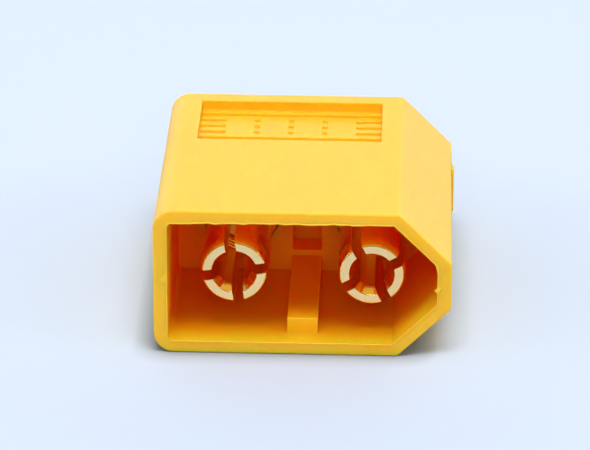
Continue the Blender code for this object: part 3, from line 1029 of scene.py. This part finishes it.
# Floor: how much painted shade darkens it round the connector and close under it, and its colours in front
# and behind
FLOOR_SIZE = 3.0
FLOOR_SHADE = 0.12
FLOOR_SHADE_PLACE = (0.0, 0.002, 0.0)
FLOOR_SHADE_REACH = (0.030, 0.018, 1.0)
CONTACT_SHADE = 0.4
CONTACT_SHADE_REACH = 1.5 * MM
CONTACT_SHADE_RAYS = 24
DARKEST_OPENNESS = 0.4
FLOOR_ROUGHNESS = 0.9
FLOOR_SPECULAR = 0.1
SHADE_COLOUR = (0.0, 0.0, 0.0)
FLOOR_FRONT_COLOUR = (0.632, 0.716, 0.862)
FLOOR_BACK_COLOUR = (0.677, 0.764, 0.92)
FLOOR_FRONT_Y = -0.020
FLOOR_BACK_Y = 0.043


def make_floor():
    bm = bmesh.new()
    bmesh.ops.create_grid(bm, x_segments=1, y_segments=1, size=FLOOR_SIZE / 2)
    floor = new_object("floor", bm)
    nodes = Nodes("pale_floor_painted_shade")
    nodes.shader.inputs["Roughness"].default_value = FLOOR_ROUGHNESS
    nodes.shader.inputs["Specular IOR Level"].default_value = FLOOR_SPECULAR
    back = nodes.ramp(nodes.axis("Y"), 0.0, 1.0, FLOOR_FRONT_Y, FLOOR_BACK_Y)
    plain = nodes.mix(back, FLOOR_FRONT_COLOUR, FLOOR_BACK_COLOUR)
    # Painted shade: the floor's colour darkens softly towards the connector, and more where the two almost
    # touch, in place of its shadow there
    wide = nodes.spot(FLOOR_SHADE_PLACE, FLOOR_SHADE_REACH, FLOOR_SHADE)
    openness = nodes.add("ShaderNodeAmbientOcclusion", samples=CONTACT_SHADE_RAYS)
    openness.inputs["Distance"].default_value = CONTACT_SHADE_REACH
    close = nodes.ramp(openness.outputs["AO"], CONTACT_SHADE, 1.0, DARKEST_OPENNESS, 1.0)
    shaded = nodes.mix(wide, plain, SHADE_COLOUR)
    nodes.link(nodes.mix(close, SHADE_COLOUR, shaded), nodes.shader.inputs["Base Color"])
    floor.data.materials.append(nodes.material)


# World: strengths, and the stretches of the view direction's Y and Z that they change over
WORLD_COLOUR = (0.97, 0.985, 1.0)
WORLD_FRONT = 0.30
WORLD_BACK = 0.20
WORLD_SPAN = (-0.6, 0.6)
GLOW_BEHIND = 1.75
GLOW_SPAN_BACK = (0.1, 0.7)
GLOW_SPAN_UP = (0.42, 0.62)


def make_world():
    """A dim light tent with a bright glow low down behind the connector."""
    world = bpy.data.worlds.new("light tent")
    bpy.context.scene.world = world
    world.use_nodes = True
    tree = world.node_tree
    background = tree.nodes["Background"]
    background.inputs["Color"].default_value = (*WORLD_COLOUR, 1.0)
    place = tree.nodes.new("ShaderNodeTexCoord")
    split = tree.nodes.new("ShaderNodeSeparateXYZ")
    tree.links.new(place.outputs["Generated"], split.inputs[0])

    def ramp(axis, low, high, span):
        node = tree.nodes.new("ShaderNodeMapRange")
        node.inputs["From Min"].default_value = span[0]
        node.inputs["From Max"].default_value = span[1]
        node.inputs["To Min"].default_value = low
        node.inputs["To Max"].default_value = high
        tree.links.new(split.outputs[axis], node.inputs["Value"])
        return node.outputs["Result"]

    glow = tree.nodes.new("ShaderNodeMath")
    glow.operation = "MULTIPLY_ADD"
    tree.links.new(ramp("Y", 0.0, GLOW_BEHIND, GLOW_SPAN_BACK), glow.inputs[0])
    tree.links.new(ramp("Z", 1.0, 0.0, GLOW_SPAN_UP), glow.inputs[1])
    tree.links.new(ramp("Y", WORLD_FRONT, WORLD_BACK, WORLD_SPAN), glow.inputs[2])
    tree.links.new(glow.outputs[0], background.inputs["Strength"])


SOFTBOX_DISTANCE = 0.5

# Name, power in watts, width and height in metres, azimuth from straight in front and elevation, both in
# degrees, and whether shiny surfaces mirror it
SOFTBOXES = (
    ("key", 1.20, 0.30, 0.13, 8, 71, True),
    ("overhead", 0.62, 0.22, 0.25, 0, 84, True),
    ("fill", 0.50, 0.25, 0.16, 3, 30, False),
    ("front strip", 0.06, 0.25, 0.05, 3, 30, True),
    ("left strip", 0.14, 0.02, 0.28, -70, 27, True),
    ("right strip", 0.14, 0.02, 0.28, 70, 27, True),
)


def make_softboxes():
    """The main light high in front, one overhead, one and a strip by the camera, and a strip each side."""
    for name, power, width, height, azimuth, elevation, mirrored in SOFTBOXES:
        light = bpy.data.lights.new(name, "AREA")
        light.energy = power
        light.shape = "RECTANGLE"
        light.size = width
        light.size_y = height
        obj = bpy.data.objects.new(name, light)
        bpy.context.scene.collection.objects.link(obj)
        around = math.radians(azimuth)
        up = math.radians(elevation)
        level = math.cos(up)
        direction = Vector((level * math.sin(around), -level * math.cos(around), math.sin(up)))
        obj.location = direction * SOFTBOX_DISTANCE
        obj.rotation_euler = (-direction).to_track_quat("-Z", "Y").to_euler()
        obj.visible_glossy = mirrored


# Camera: its place from the middle of the mating face's lower edge
CAMERA_PLACE = Vector((4.851, -160.633, 80.539)) * MM
CAMERA_YAW = math.radians(1.866)
CAMERA_PITCH = math.radians(-24.454)
CAMERA_ROLL = math.radians(0.298)
CAMERA_LENS = 209.35
CAMERA_SENSOR = 36.0


def make_camera():
    data = bpy.data.cameras.new("camera")
    data.lens = CAMERA_LENS
    data.sensor_width = CAMERA_SENSOR
    data.clip_start = MM
    camera = bpy.data.objects.new("camera", data)
    bpy.context.scene.collection.objects.link(camera)
    turn = Matrix.Rotation(CAMERA_YAW, 4, "Z")
    tilt = Matrix.Rotation(math.pi / 2 + CAMERA_PITCH, 4, "X")
    roll = Matrix.Rotation(CAMERA_ROLL, 4, "Z")
    place = CAMERA_PLACE + Vector((0, MATING_Y, 0))
    camera.matrix_world = Matrix.Translation(place) @ turn @ tilt @ roll
    bpy.context.scene.camera = camera


def set_in_frame(piece, node):
    piece.location.y += MATING_Y
    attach(piece, "root")
    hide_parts(node)


# The shroud glows by light that has bounced about inside it many times
BOUNCES = 24
DIFFUSE_BOUNCES = 16
GLOSSY_BOUNCES = 8


def main():
    scene = bpy.context.scene
    scene.view_settings.view_transform = "Standard"
    scene.cycles.max_bounces = BOUNCES
    scene.cycles.diffuse_bounces = DIFFUSE_BOUNCES
    scene.cycles.glossy_bounces = GLOSSY_BOUNCES
    make_camera()
    make_world()
    make_softboxes()
    make_floor()
    metals = {
        TURNED_FINISH: turned_metal(),
        FACED_FINISH: faced_metal(),
        SAWN_FINISH: sawn_metal(),
    }
    set_in_frame(make_housing(), "housing")
    flash = make_flash()
    flash.location.y += MATING_Y
    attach(flash, "root")
    sides = (
        ("contact_square_side", -CONTACT_OFFSET, SLOT_TURN_SQUARE_SIDE),
        ("contact_key_side", CONTACT_OFFSET, SLOT_TURN_KEY_SIDE),
    )
    for node, centre_x, slot_turn in sides:
        contact = make_contact(f"{node}_turned", centre_x, slot_turn, metals)
        set_in_frame(contact, node)


main()
